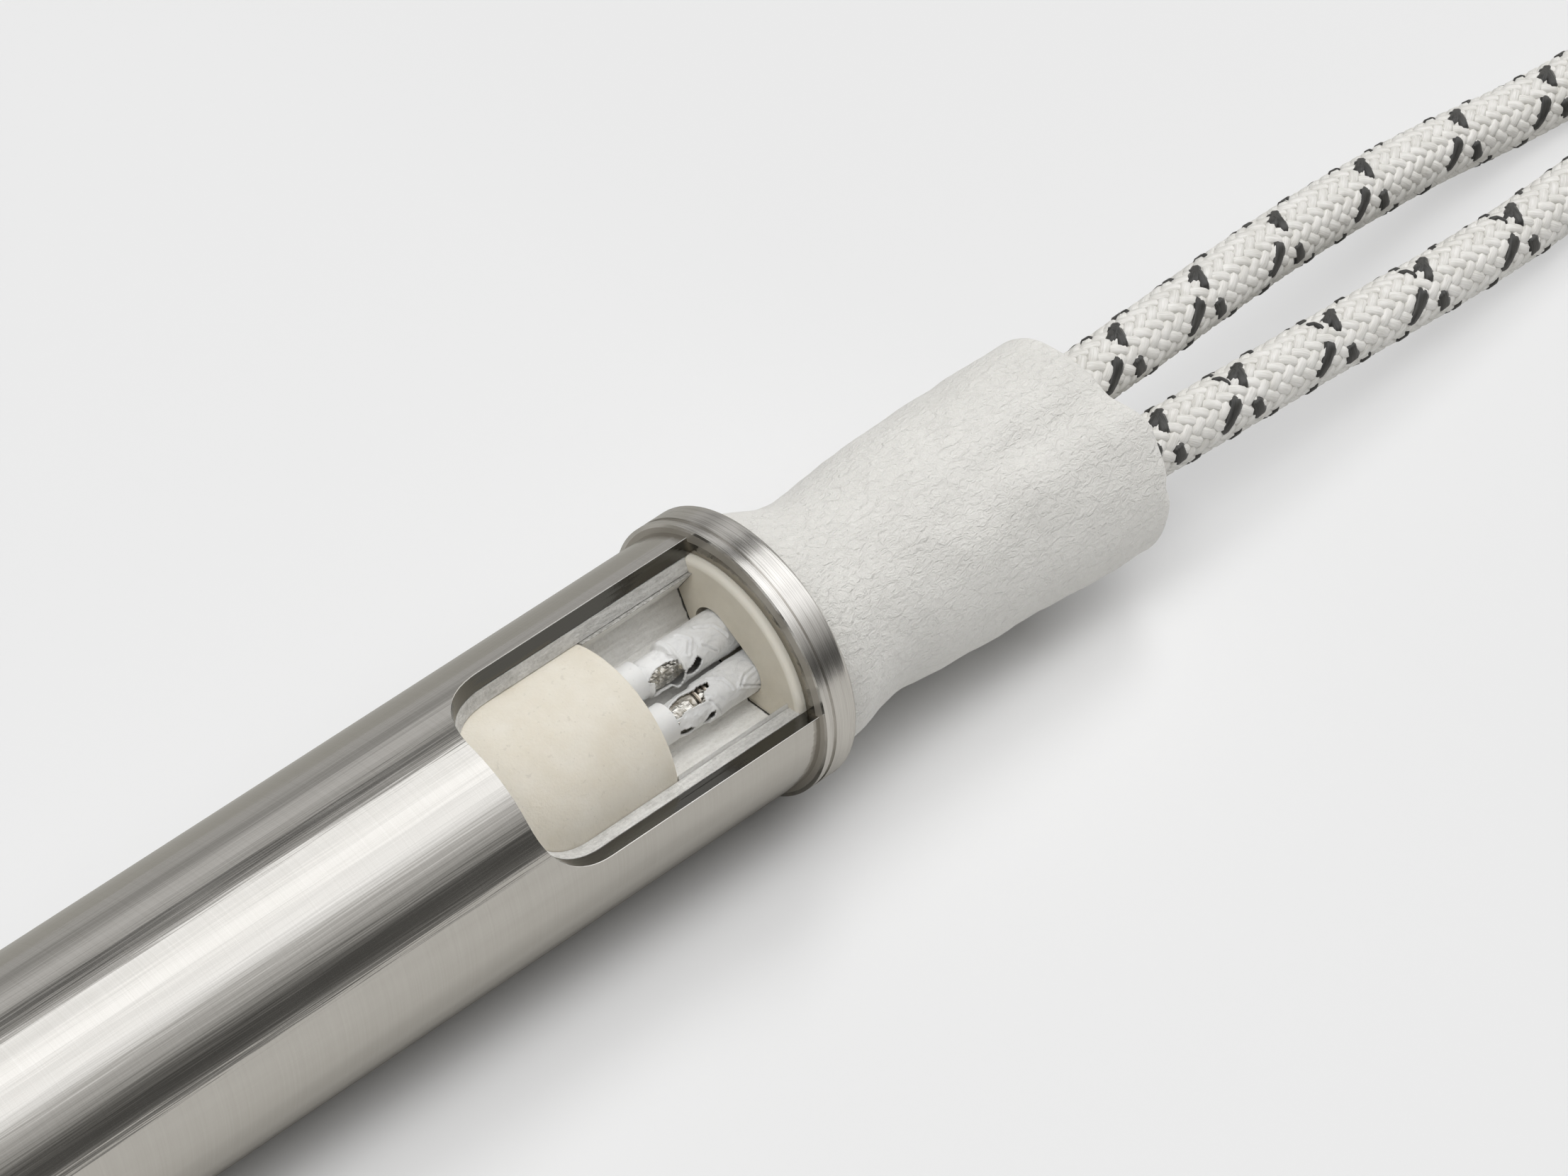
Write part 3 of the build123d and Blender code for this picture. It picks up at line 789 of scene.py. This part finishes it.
def tracer_float(track, station, mark, heap):
    """A dark float of a tracer yarn: it comes up between the white yarns, lies on them and dives again."""
    half_width, path = mark
    rings, rise_rings = 4 * len(path) + 5, 3.2
    share = np.linspace(0, 1, rings)
    known = np.linspace(0, 1, len(path))
    stations = station + np.interp(share, known, [at for at, _ in path])
    angles = np.radians(np.interp(share, known, [angle for _, angle in path]))
    ends = np.minimum(share, 1 - share) * rings / rise_rings
    rise = np.sqrt(np.clip(ends, 0.0, 1.0))
    radii = TRACER_LOW + rise * (TRACER_HEIGHT - TRACER_LOW)
    widths = half_width * (0.75 + 0.25 * rise) * (0.8 + 0.35 * share)
    thicknesses = np.full(rings, TRACER_THICKNESS / 2)
    add_yarn(heap, *yarn_points(track, stations, angles, radii, widths, thicknesses), 1)


def lead_braid(name, track, paints):
    """Every yarn of the braid on the stretch of lead that the photograph shows."""
    heap = []
    for family in (-1, 1):
        for index in range(CARRIERS):
            plain_yarn(track, index, family, heap)
    groups = list(TRACER_STATIONS[name])
    while groups[-1] + TRACER_REPEAT < BRAID_END - TRACER_END_GAP:
        groups.append(groups[-1] + TRACER_REPEAT)
    for station in groups:
        for mark in TRACER_MARKS + TRACER_EXTRAS[name] + back_floats():
            tracer_float(track, station, mark, heap)
    points, faces, uv, slots = [np.concatenate(parts) for parts in zip(*heap)]
    return add_mesh(f"lead_{name}_braid", points, faces.tolist(), paints, uv, slots)


def lead_coil_braid(name, track, paint):
    """Braid of the put-away rest of the lead, as one round skin that starts inside the yarns' end."""
    around, step, lap = 32, 1.3, 0.3
    stations = np.linspace(BRAID_END - lap, track.length - lap, int((track.length - BRAID_END) / step))
    place, _, up, side = track.at(stations)
    theta = np.arange(around + 1) * TAU / around
    points = (place[:, None, :] + rings_out(theta, up, side) * LEAD_RADIUS).reshape(-1, 3) * MM
    turns = theta / TAU
    pitches = stations / BRAID_PITCH
    uv = np.stack(np.broadcast_arrays(turns[None, :], pitches[:, None]), -1).reshape(-1, 2)
    faces = grid_faces(len(stations), around + 1, closed=False).tolist()
    first = list(range(around))
    last = [len(points) - around - 1 + corner for corner in first]
    ends = [first[::-1], last]
    return add_mesh(f"lead_{name}_rest", points, faces + ends, [paint], uv=uv)


def make_leads(paints):
    """Both leads, each as a core with its braid and its put-away rest, in place of the CAD leads."""
    for name, route in LEAD_ROUTES.items():
        curve, track = lead_curve(name, route)
        curve.data.materials.append(paints["core"].material)
        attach(curve, "root")
        braid = lead_braid(name, track, [paints["white_yarn"], paints["black_yarn"]])
        rest = lead_coil_braid(name, track, paints["coil_braid"])
        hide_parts(f"lead_{name}")
    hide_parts("lead_coil")


# Soft end sleeve

# Station from the collar's face, half width, half height and sideways offset of each section
SLEEVE_SECTIONS = [
    (1.5, 6.9, 6.9, 0.0),
    (2.35, 7.2, 7.15, 0.05),
    (3.2, 7.35, 7.1, 0.15),
    (4.3, 7.2, 6.9, 0.35),
    (5.4, 6.85, 6.6, 0.45),
    (7.0, 6.40, 6.3, 0.54),
    (8.8, 6.28, 6.2, 0.55),
    (11.8, 6.6, 6.1, 0.55),
    (16.5, 6.82, 5.9, 0.58),
    (21.0, 6.98, 5.6, 0.70),
    (25.5, 7.13, 5.2, 0.87),
    (28.1, 7.14, 4.8, 0.93),
]
SLEEVE_END_RADIUS = 1.05

# The sleeve's flat directions, across the two leads and up from them, and the leads' middles in its mouth
SLEEVE_ACROSS = Vector((0, -0.798, -0.603))
SLEEVE_UP = Vector((0, -0.603, 0.798))
MOUTH_LEADS = [(-1.9, -0.225), (3.17, -0.30)]
MOUTH_INWARDS = [(0.45, 0.0), (0.8, -0.25), (1.0, -0.9), (1.0, -2.4), (1.0, -5.0)]

# Dents and swellings of the sleeve, as middle and reach across it. The dent has the same along it.
CREASE_TOP = (-0.75, 1.15)
CREASE_UNDER = (0.6, 1.1)
RIDGE = (1.5, 1.5)
DENT_ACROSS = (0.3, 1.2)
DENT_ALONG = (14.6, 1.6)
CREASE_DEPTH = 0.38
RIDGE_HEIGHT = 0.26
DENT_DEPTH = 0.16

# How far the sleeve's end stands past its last section, from side to side: least over the upper lead
END_ACROSS = (-7.0, -6.0, -3.7, -2.3, -0.4, 0.9, 2.3, 3.9, 5.3, 6.0, 6.7, 8.0)
END_AHEAD = (-0.6, -0.45, -0.2, 0.0, 0.12, 0.62, 1.12, 1.0, 0.85, 0.52, 0.66, 0.3)


def sleeve_point(x, a, b):
    """Row point of a station and a place across and up."""
    return Vector(((FACE_X + x) * MM, 0, AXIS_Z * MM)) + (SLEEVE_ACROSS * a + SLEEVE_UP * b) * MM


def sleeve_size(x):
    """Half width, half height and offset at a station, eased between the sections."""
    last = len(SLEEVE_SECTIONS) - 1
    index = max(i for i, row in enumerate(SLEEVE_SECTIONS) if row[0] <= x + 1e-9)
    if index == last:
        return SLEEVE_SECTIONS[last][1:]
    before, low, high, after = [SLEEVE_SECTIONS[min(max(index + step, 0), last)] for step in (-1, 0, 1, 2)]
    run = high[0] - low[0]
    sizes = []
    for k in (1, 2, 3):
        slope_low = (high[k] - before[k]) / (high[0] - before[0]) * run
        slope_high = (after[k] - low[k]) / (after[0] - low[0]) * run
        sizes.append(eased((x - low[0]) / run, low[k], high[k], slope_low, slope_high))
    return sizes


def sleeve_skin(x, angle):
    """A point of the sleeve's outside: an oval with a crease between the two leads and soft dents."""
    half_width, half_height, offset = sleeve_size(x)
    a = offset + half_width * math.cos(angle)
    b = half_height * math.sin(angle)
    crease = smooth((x - 13.5) / 8.0) * (CREASE_DEPTH - 0.16 * smooth((x - 24) / 4))
    ridge = smooth((x - 15.0) / 8.0) * RIDGE_HEIGHT
    if b > 0:
        b -= hump(a, crease, *CREASE_TOP)
        b += hump(a, ridge, *RIDGE)
        b -= hump(a, hump(x, DENT_DEPTH, *DENT_ALONG), *DENT_ACROSS)
    else:
        b += hump(a, crease * 0.6, *CREASE_UNDER)
    grow = noise.noise(Vector((x * 0.30, a * 0.34, b * 0.34))) * 0.13
    grow += noise.noise(Vector((x * 0.85 + 9, a * 0.95, b * 0.95))) * 0.05
    grow *= smooth((x - 2.4) / 3.0)
    share = grow / (math.hypot(a - offset, b) or 1.0)
    return a + (a - offset) * share, b + b * share


def sleeve_end_reach(a):
    return float(np.interp(a, END_ACROSS, END_AHEAD))


def drawn_in(a, b, drop):
    """A point of the last section, moved inwards."""
    offset = SLEEVE_SECTIONS[-1][3]
    reach = math.hypot(a - offset, b)
    shrink = (reach - drop) / reach
    return offset + (a - offset) * shrink, b * shrink


def mouth_point(angle):
    """Edge of the sleeve's mouth: it hugs both leads and dips between them."""
    (a0, b0), (a1, b1) = MOUTH_LEADS
    hug, dip = LEAD_RADIUS + 0.06, 0.75
    a = (a0 + a1) / 2 + math.cos(angle) * ((a1 - a0) / 2 + hug)
    near = min(abs(a - a0), abs(a - a1))
    rise = math.sqrt(max(hug**2 - near**2, 0.0))
    rise = max(rise, dip if a0 < a < a1 else 0.0)
    side = 0.0 if abs(math.sin(angle)) < 1e-6 else math.copysign(1.0, math.sin(angle))
    return a, (b0 + b1) / 2 + rise * side


def end_sleeve(paint):
    """Outside of the sleeve, its rounded end, then its mouth running inwards to the two leads."""
    around, rings, rounding = 144, 150, 8
    turns = [TAU * step / around for step in range(around)]
    first, last = SLEEVE_SECTIONS[0][0], SLEEVE_SECTIONS[-1][0]
    points = []
    for ring in range(rings):
        x = first + (last - first) * ring / (rings - 1)
        for angle in turns:
            a, b = sleeve_skin(x, angle)
            push = smooth((x - 20.0) / 8.0) * sleeve_end_reach(a)
            points.append(sleeve_point(x - SLEEVE_END_RADIUS * smooth((x - 14) / 14) + push, a, b))
    ends = [sleeve_skin(last, angle) for angle in turns]
    for ring in range(1, rounding + 1):
        turn = math.pi / 2 * ring / rounding
        ahead = SLEEVE_END_RADIUS * math.sin(turn)
        for a, b in ends:
            x = last - SLEEVE_END_RADIUS + ahead + sleeve_end_reach(a)
            points.append(sleeve_point(x, *drawn_in(a, b, SLEEVE_END_RADIUS * (1 - math.cos(turn)))))
    for share, depth in MOUTH_INWARDS:
        for angle, (a, b) in zip(turns, ends):
            outer = drawn_in(a, b, SLEEVE_END_RADIUS)
            inner = mouth_point(angle)
            at = [outer[i] * (1 - share) + inner[i] * share for i in (0, 1)]
            push = sleeve_end_reach(a) * (1 - share * 0.6)
            points.append(sleeve_point(last + push + depth, *at))
    faces = grid_faces(len(points) // around, around).tolist()
    made = add_mesh("soft_end_sleeve", points, faces, [paint])
    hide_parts("end_sleeve")


# Wire joints in the window

# Middles of the two wires in the heater's own y and z, and stations along them
WIRE_MIDDLES = {"1": (1.19, 2.25), "2": (-1.58, 2.25)}
WIRE_START = -6.22
WIRE_SHOWN_END = 0.6
WIRE_BEND = 3.6
WIRE_END = 14.0
TAPE_RADIUS = {"1": (1.07, 1.35), "2": (1.05, 1.18)}
TAPE_STEP = {"1": -4.2, "2": -3.85}
TAPE_THICKNESS = 0.13
CRIMP_RADIUS = 0.88
CRIMP_MEAN_LIFT = 0.06
CRIMP_END = -2.6

# Height, middle and reach of a fold's ridge and groove, and of the lip of an opening, off their lines
FOLD_RIDGE = (0.06, 0.13, 0.09)
FOLD_GROOVE = (0.08, 0.0, 0.06)
OPENING_LIP = (0.06, 0.0, 0.12)

# Height, middle and reach of the crimp's seam, its middle and reach in degrees
CRIMP_SEAM = (0.07, 14.0, 5.0)

# Torn openings and folds of the sleeving: stations and degrees from the side that faces the camera
OPENINGS = {
    "1": [
        [(-6.18, 16), (-5.88, 4), (-5.44, -5), (-4.67, -7), (-4.05, 3), (-3.93, 34), (-3.98, 57), (-4.1, 88),
         (-5.95, 90), (-5.88, 48), (-5.84, 29)],
        [(-3.98, 41), (-3.5, 36), (-2.9, 21), (-2.60, 36), (-2.95, 60), (-3.40, 64), (-3.86, 52)],
    ],
    "2": [
        [(-6.30, -27), (-5.92, -48), (-5.08, -61), (-3.95, -50), (-3.23, -40), (-3.36, -25), (-3.87, -19),
         (-4.04, 3), (-4.9, 0), (-5.43, -5), (-5.80, 3), (-6.25, 5)],
        [(-6.25, 55), (-6.0, 44), (-5.5, 47), (-5.1, 62), (-5.4, 75), (-6.0, 70)],
        [(-4.6, 66), (-4.0, 44), (-3.67, 40), (-3.75, 62), (-4.1, 80)],
    ],
}
FOLDS = {
    "1": [
        [(-3.13, -50), (-2.78, -20), (-3.36, 6)],
        [(-4.02, -66), (-4.12, -8), (-4.0, 30)],
        [(-2.27, 9), (-1.54, 42)],
        [(-2.0, -40), (-1.1, -15), (-0.7, 20)],
    ],
    "2": [
        [(-1.74, 20), (-0.17, 62)],
        [(-1.74, 20), (-1.2, 3), (-0.49, 0)],
        [(-3.79, 9), (-3.5, 38), (-3.26, 64)],
        [(-3.1, -45), (-2.5, -20), (-2.3, 15)],
    ],
}


def path_distance(points, path, closed=False):
    """Distance of each point from a line of straight runs."""
    path = np.asarray(path, float)
    ends = np.roll(path, -1, axis=0) if closed else path[1:]
    starts = path if closed else path[:-1]
    best = np.full(points.shape[:-1], np.inf)
    for start, end in zip(starts, ends):
        run = end - start
        share = np.clip(((points - start) @ run) / (run @ run), 0, 1)
        best = np.minimum(best, np.linalg.norm(points - start - share[..., None] * run, axis=-1))
    return best


def inside_path(points, path):
    """Whether each point lies inside a closed outline."""
    x, y = points[..., 0], points[..., 1]
    inside = np.zeros(x.shape, bool)
    for (x0, y0), (x1, y1) in zip(path, np.roll(path, -1, axis=0)):
        if y0 == y1:
            continue
        crosses = (y0 > y) != (y1 > y)
        inside ^= crosses & (x < (x1 - x0) * (y - y0) / (y1 - y0) + x0)
    return inside


def unrolled(outline, radius):
    """Stations and degrees of an outline as millimetres on the wire's unrolled skin."""
    return np.array([(x, math.radians(degrees) * radius) for x, degrees in outline])


def wire_line(name, stations):
    """Places and directions along a wire: straight in the chamber, then bending to its lead."""
    y, z = WIRE_MIDDLES[name]
    bend = np.array(heater(WIRE_BEND, y, z)) / MM
    end, after = [np.array([FACE_X + x, y, z]) for x, y, z in LEAD_ROUTES[name][:2]]
    reach = np.linalg.norm(end - bend)
    leave = np.array([reach, 0.0, 0.0])
    arrive = (after - end) / np.linalg.norm(after - end) * reach
    t = np.clip((stations - WIRE_BEND) / (WIRE_END - WIRE_BEND), 0, 1)[:, None]
    curved = eased(t, bend, end, leave, arrive)
    place = np.where(t > 0, curved, bend + (stations - WIRE_BEND)[:, None] * np.array([1.0, 0, 0]))
    along = np.gradient(place, axis=0)
    return place, along / np.linalg.norm(along, axis=1)[:, None]


def round_skin(name, stations, angles, radii):
    """Points at the given radii round a wire. Angle 0 faces the camera and 90 degrees the lower right."""
    place, along = wire_line(name, stations)
    toward = np.array(SLEEVE_UP)
    out = toward - (along @ toward)[:, None] * along
    out /= np.linalg.norm(out, axis=1)[:, None]
    side = np.cross(out, along)
    if (side[0] @ np.array(SLEEVE_ACROSS)) < 0:
        side = -side
    return place[:, None, :] + rings_out(angles, out, side) * radii[..., None]


def shell(outer, inner, keep):
    """Faces of a skin with a thickness: both sides, and a rim wherever a face was left out."""
    rings, around = outer.shape[:2]
    count = rings * around
    shown = np.pad(keep, ((1, 1), (0, 0)))
    faces = []
    for ring, step in np.argwhere(keep).tolist():
        after = (step + 1) % around
        here, beyond = ring * around, (ring + 1) * around
        corners = [here + step, here + after, beyond + after, beyond + step]
        faces += [corners, [corner + count for corner in reversed(corners)]]
        neighbours = [shown[ring, step], keep[ring, after], shown[ring + 2, step], keep[ring, step - 1]]
        for side in range(4):
            if not neighbours[side]:
                a, b = corners[side], corners[(side + 1) % 4]
                faces.append((b, a, a + count, b + count))
    return np.concatenate([outer.reshape(-1, 3), inner.reshape(-1, 3)]) * MM, faces


def noise_round(stations, angles, along, across, shift, finer=1.0):
    """Noise on a wire's skin, stretched along and across the wire, one row for each station."""
    def value(x, angle):
        spot = Vector((x * along, math.cos(angle) * across, math.sin(angle) * across))
        return noise.noise((spot + Vector(shift)) * finer)
    return np.array([[value(x, angle) for angle in angles] for x in stations])


def wire_sleeving(name, paint):
    """Wrapped sleeving over a wire joint, torn open over the crimp, with folds and a second layer."""
    around = 108
    shown = np.arange(WIRE_START, WIRE_SHOWN_END, 0.055)
    stations = np.concatenate([shown, np.linspace(WIRE_SHOWN_END, WIRE_END, 30)])
    angles = np.arange(around) * TAU / around - math.pi
    thin, thick = TAPE_RADIUS[name]
    xs, turns = np.meshgrid(stations, angles, indexing="ij")
    skin = np.stack([xs, turns * thick], -1)
    step = TAPE_STEP[name] + 0.13 * np.sin(turns * 2.3 + 1) + 0.05 * np.sin(turns * 7)
    radii = thin + (thick - thin) / (1 + np.exp(-(xs - step) / 0.03))
    radii -= hump(xs, 0.15, WIRE_START, 0.3)
    rough = (stations, angles, 0.9, 1.4, (0, 0, 7 * float(name)))
    radii += 0.05 * noise_round(*rough) + 0.022 * noise_round(*rough, finer=3.1)
    for fold in FOLDS[name]:
        far = path_distance(skin, unrolled(fold, thick))
        radii += hump(far, *FOLD_RIDGE) - hump(far, *FOLD_GROOVE)
    middles = (skin[:-1] + skin[1:]) / 2 + np.array([0.0, math.pi * thick / around])
    keep = np.ones(middles.shape[:2], bool)
    for outline in OPENINGS[name]:
        edge = unrolled(outline, thick)
        keep &= ~inside_path(middles, edge)
        radii += hump(path_distance(skin, edge, closed=True), *OPENING_LIP)
    outer = round_skin(name, stations, angles, radii)
    inner = round_skin(name, stations, angles, radii - TAPE_THICKNESS)
    points, faces = shell(outer, inner, keep)
    made = add_mesh(f"joint_{name}_sleeving", points, faces, [paint])
    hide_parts(f"wire_sleeving_{name}")


def crimp_foil(name, paint):
    """Crimped metal over a joint, its folds flattened into bright facets."""
    around = 46
    stations = np.arange(WIRE_START + 0.02, CRIMP_END, 0.11)
    angles = np.arange(around) * TAU / around
    rough = (stations, angles, 1.1, 1.5, (5 * float(name), 0, 0))
    crumple = abs(noise_round(*rough)) * 0.24 + abs(noise_round(*rough, finer=2.3)) * 0.10
    radii = CRIMP_RADIUS + CRIMP_MEAN_LIFT - crumple + hump(np.degrees(angles), *CRIMP_SEAM)
    points = round_skin(name, stations, angles, radii).reshape(-1, 3) * MM
    faces = grid_faces(len(stations), around).tolist()
    made = add_mesh(f"joint_{name}_crimp", points, faces, [paint], flat=True)
    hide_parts(f"crimp_{name}")


def make_materials():
    return {
        "sheath": sheath_paint(),
        "collar": collar_paint(),
        "ceramic": ceramic_paint("core ceramic", (0.79, 0.745, 0.65), (0.735, 0.68, 0.57), 6.0, 0.035, 0.62),
        "washer": washer_paint(),
        "bush": ceramic_paint("white ceramic", (0.84, 0.84, 0.83), (0.80, 0.80, 0.79), 9.0, 0.01, 0.4),
        "oxide": oxide_paint(),
        "packing": packing_paint(),
        "sleeving": sleeving_paint(),
        "felt": felt_paint(),
        "core": yarn_paint("lead core", (0.80, 0.79, 0.77), (0.62, 0.61, 0.59), 0.0),
        "white_yarn": yarn_paint("white yarn", (0.835, 0.82, 0.785), (0.68, 0.665, 0.62), 0.1),
        "black_yarn": yarn_paint("black yarn", (0.05, 0.049, 0.045), (0.014, 0.014, 0.013), 0.05),
        "coil_braid": braid_paint(),
        "wire": metal_paint("resistance wire", (0.42, 0.39, 0.35), (0.2, 0.18, 0.16), 0.45, 2.0),
        "pins": metal_paint("pin metal", (0.66, 0.63, 0.57), (0.30, 0.26, 0.21), 0.22, 2.2),
        "foil": metal_paint("crimp foil", (0.80, 0.785, 0.74), (0.40, 0.375, 0.33), 0.16, 1.6),
        "strands": strand_paint(),
        "band": band_paint(),
    }


def paint_nodes(paints):
    """Give the CAD nodes whose names start like this their finish, through their own slots."""
    finishes = {
        "sheath": ("sheath", "end_disc"), "collar": ("collar",), "oxide": ("oxide_liner",),
        "ceramic": ("header_core", "wound_core", "tip_wafer"), "wire": ("heating_wire",),
        "pins": ("terminal_pin", "crimp"), "bush": ("pin_bush",), "washer": ("mouth_washer",),
        "sleeving": ("wire_sleeving",), "packing": ("chamber_packing",),
        "strands": ("conductor", "lead_tip"), "band": ("coil_tie",),
    }
    for finish, starts in finishes.items():
        material = paints[finish].material
        for name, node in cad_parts.items():
            if not name.startswith(starts):
                continue
            if not node.material_slots:
                node.data.materials.append(material)
            for place in node.material_slots:
                place.material = material


make_camera()
paints = make_materials()
make_leads(paints)
make_floor()
make_world()
end_sleeve(paints["felt"])
for wire in ("1", "2"):
    wire_sleeving(wire, paints["sleeving"])
    crimp_foil(wire, paints["foil"])
paint_nodes(paints)
bpy.context.scene.view_settings.view_transform = "Standard"
